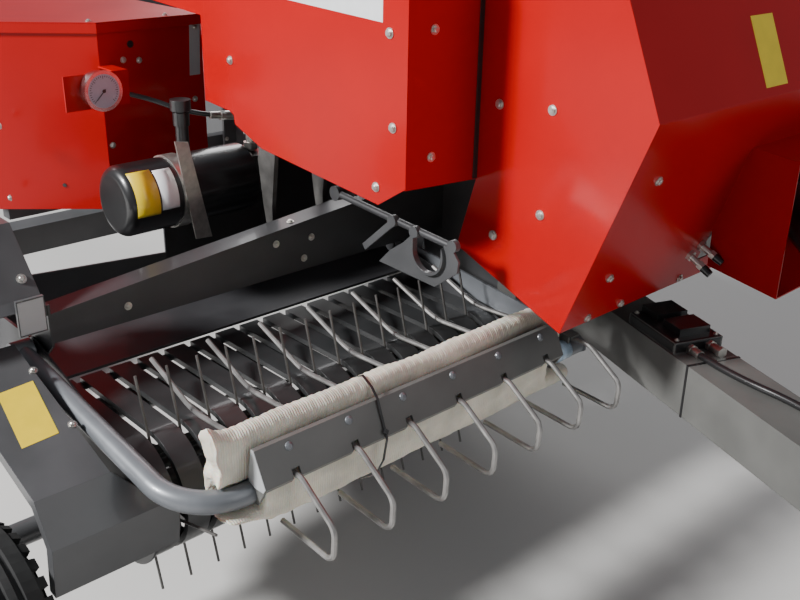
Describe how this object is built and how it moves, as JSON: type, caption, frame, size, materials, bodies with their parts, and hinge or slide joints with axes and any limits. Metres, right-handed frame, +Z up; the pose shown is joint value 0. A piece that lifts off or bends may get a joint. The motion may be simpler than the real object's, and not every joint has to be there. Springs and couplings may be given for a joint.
{
  "type": "small square baler",
  "caption": "Towed small square baler with a side pickup, a swinging drawbar, a long bale case on two wheels and a let-down bale chute.",
  "frame": {"origin": "on the ground under the middle of the machine's overall size", "axes": "+Z up, -Y forward towards the tractor, +X to the machine's left, away from the pickup"},
  "size_m": [2.27, 5.18, 1.42],
  "materials": {
    "red_sheet": "gloss red paint",
    "grey_paint": "satin dark grey paint",
    "tyre": "matt black rubber",
    "light_rim": "light grey paint",
    "black_plastic": "matt black",
    "steel": "bare steel",
    "gauge_face": "bright case",
    "foam": "translucent packing foam",
    "hose": "matt black hose",
    "chrome_rod": "dark grey barrel"
  },
  "bodies": {
    "chassis": {"bale_case": "grey_paint", "case_ribs": "grey_paint", "tension_case": "grey_paint", "tension_rails": "grey_paint", "density_cylinders": "chrome_rod", "main_frame": "grey_paint", "drawbar_hinge_pin": "steel", "axle": "grey_paint", "cross_beam": "grey_paint", "feed_trough": "grey_paint", "feeder_shield": "red_sheet", "drive_hood": "red_sheet", "hood_posts": "grey_paint", "joint_bell": "black_plastic", "gearbox": "grey_paint", "upper_rear_cover": "grey_paint", "twine_box": "red_sheet", "twine_box_beams": "grey_paint", "twine_box_hinge": "grey_paint", "knotter_frame": "grey_paint", "knotters": "steel", "knotter_hinge": "grey_paint", "metering_bracket": "grey_paint", "needle_yoke": "grey_paint", "chute_hinge": "grey_paint", "oil_reservoir": "black_plastic", "oil_fittings": "gauge_face", "gauge_bracket": "red_sheet", "pressure_gauge": "gauge_face", "gauge_hose": "hose", "lift_linkage": "grey_paint", "lift_hanger": "grey_paint", "feeder_forks": "grey_paint"},
    "pickup": {"pickup_frame": "grey_paint", "stripper_bands": "grey_paint", "reel_drive_cover": "grey_paint", "gauge_wheel_arm": "grey_paint"},
    "reel": {"tine_reel": "steel"},
    "windguard": {"windguard_tube": "grey_paint", "windguard_rods": "steel", "windguard_plate": "grey_paint", "foam_sleeve": "foam"},
    "gauge_wheel": {"gauge_rim": "light_rim", "gauge_tyre": "tyre"},
    "left_wheel": {"left_rim": "light_rim", "left_tyre": "tyre"},
    "right_wheel": {"right_rim": "light_rim", "right_tyre": "tyre"},
    "drawbar": {"drawbar": "grey_paint", "hitch_clevis": "grey_paint", "drawbar_hose": "hose"},
    "jack": {"jack": "grey_paint"},
    "driveline": {"driveline_guard": "black_plastic"},
    "pto_shaft": {"pto_yoke": "steel"},
    "flywheel": {"flywheel": "steel"},
    "twine_lid": {"twine_box_lid": "red_sheet"},
    "knotter_lid": {"knotter_cover": "red_sheet"},
    "metering": {"metering_wheel": "steel"},
    "chute": {"bale_chute": "grey_paint"},
    "plunger": {"plunger": "steel"}
  },
  "joints": [
    {"name": "pickup_lift", "type": "hinge", "parent": "chassis", "child": "pickup", "pos_m": [0, -0.64, 0.604], "axis": [-1, 0, 0], "range_deg": [-16, 0]},
    {"name": "windguard_lift", "type": "hinge", "parent": "pickup", "child": "windguard", "pos_m": [0, -0.64, 0.604], "axis": [-1, 0, 0], "range_deg": [0, 6]},
    {"name": "reel_spin", "type": "hinge", "parent": "pickup", "child": "reel", "pos_m": [0, -0.962, 0.403], "axis": [1, 0, 0], "continuous": true},
    {"name": "gauge_wheel_spin", "type": "hinge", "parent": "pickup", "child": "gauge_wheel", "pos_m": [-1.075, -1, 0.28], "axis": [1, 0, 0], "continuous": true},
    {"name": "left_wheel_spin", "type": "hinge", "parent": "chassis", "child": "left_wheel", "pos_m": [1.01, 0.65, 0.37], "axis": [1, 0, 0], "continuous": true},
    {"name": "right_wheel_spin", "type": "hinge", "parent": "chassis", "child": "right_wheel", "pos_m": [-0.93, 0.65, 0.37], "axis": [1, 0, 0], "continuous": true},
    {"name": "drawbar_swing", "type": "hinge", "parent": "chassis", "child": "drawbar", "pos_m": [0.436, -1.15, 0.52], "axis": [0, 0, 1], "range_deg": [0, 27]},
    {"name": "jack_swing", "type": "hinge", "parent": "drawbar", "child": "jack", "pos_m": [0.20047, -2.13338, 0.52], "axis": [0.9272, -0.3746, 0], "range_deg": [0, 90]},
    {"name": "driveline_swing", "type": "hinge", "parent": "chassis", "child": "driveline", "pos_m": [0.56, -1.5, 0.89], "axis": [0, 0, 1], "range_deg": [0, 37]},
    {"name": "pto_spin", "type": "hinge", "parent": "driveline", "child": "pto_shaft", "pos_m": [-0.07916, -2.2978, 0.69869], "axis": [0.6146, 0.7671, 0.184], "continuous": true},
    {"name": "flywheel_spin", "type": "hinge", "parent": "chassis", "child": "flywheel", "pos_m": [0.56, -1.25, 0.89], "axis": [0, 1, 0], "continuous": true},
    {"name": "twine_lid_hinge", "type": "hinge", "parent": "chassis", "child": "twine_lid", "pos_m": [-0.077, 0.07, 1.162], "axis": [0, 1, 0], "range_deg": [0, 80]},
    {"name": "knotter_cover_hinge", "type": "hinge", "parent": "chassis", "child": "knotter_lid", "pos_m": [0.55, 0, 0.96], "axis": [1, 0, 0], "range_deg": [0, 70]},
    {"name": "metering_spin", "type": "hinge", "parent": "chassis", "child": "metering", "pos_m": [0.55, 0.48, 0.985], "axis": [1, 0, 0], "continuous": true},
    {"name": "chute_hinge_lift", "type": "hinge", "parent": "chassis", "child": "chute", "pos_m": [0.55, 1.772, 0.496], "axis": [1, 0, 0], "range_deg": [0, 80]},
    {"name": "plunger_slide", "type": "slide", "parent": "chassis", "child": "plunger", "axis": [0, 1, 0], "range_m": [0, 0.55]}
  ],
  "couplings": [
    {"joint": "driveline_swing", "follows": "drawbar_swing", "ratio": 1.3556},
    {"joint": "pto_spin", "follows": "flywheel_spin", "ratio": 1}
  ]
}
